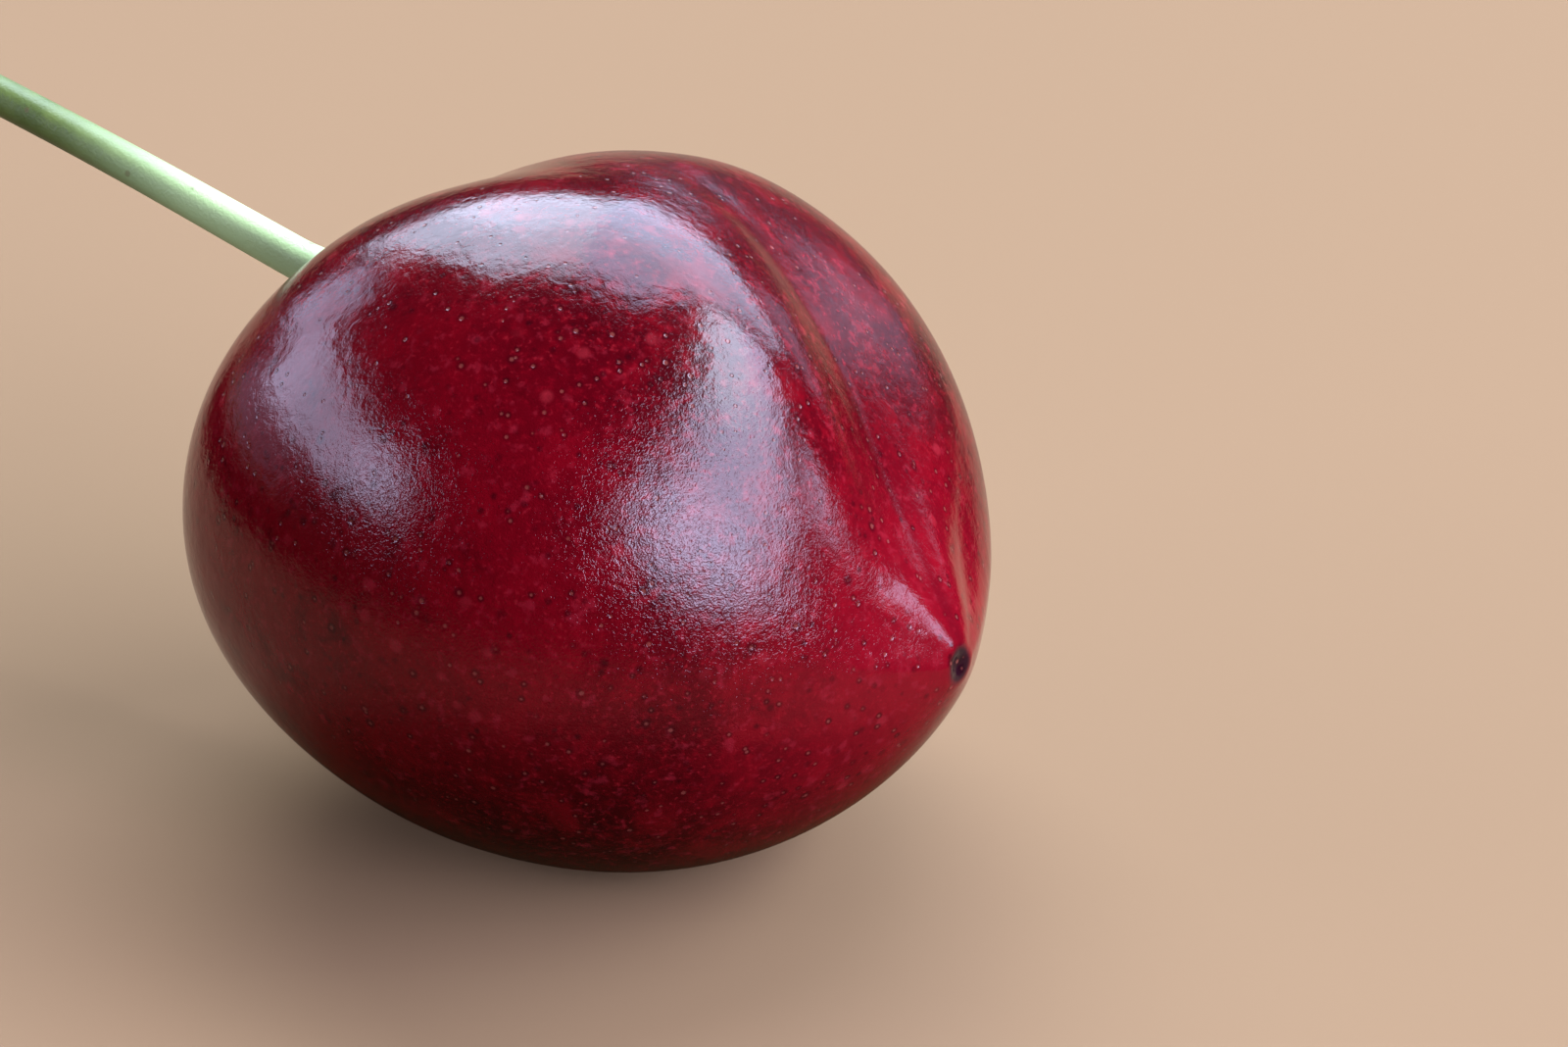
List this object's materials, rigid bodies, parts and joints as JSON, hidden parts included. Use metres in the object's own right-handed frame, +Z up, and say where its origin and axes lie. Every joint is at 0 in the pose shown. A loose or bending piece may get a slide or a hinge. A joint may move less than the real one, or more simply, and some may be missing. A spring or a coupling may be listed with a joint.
{
  "type": "cherry",
  "caption": "Dark red sweet cherry with its green stem, lying on its side with the suture groove on top, resting on a small flat spot.",
  "frame": {"origin": "middle of the small flat spot on the underside of the fruit, in the plane of the floor", "axes": "+Z up, away from the floor. +X to the right of the main view and +Y away from its viewer. The stem leaves towards -X and +Y, and the stylar tip points towards +X and -Y."},
  "size_m": [0.0517, 0.0417, 0.0218],
  "materials": {
    "cherry_skin": "glossy",
    "cherry_stem": "satin"
  },
  "bodies": {
    "root": {"fruit": "cherry_skin", "stem": "cherry_stem"}
  },
  "joints": []
}
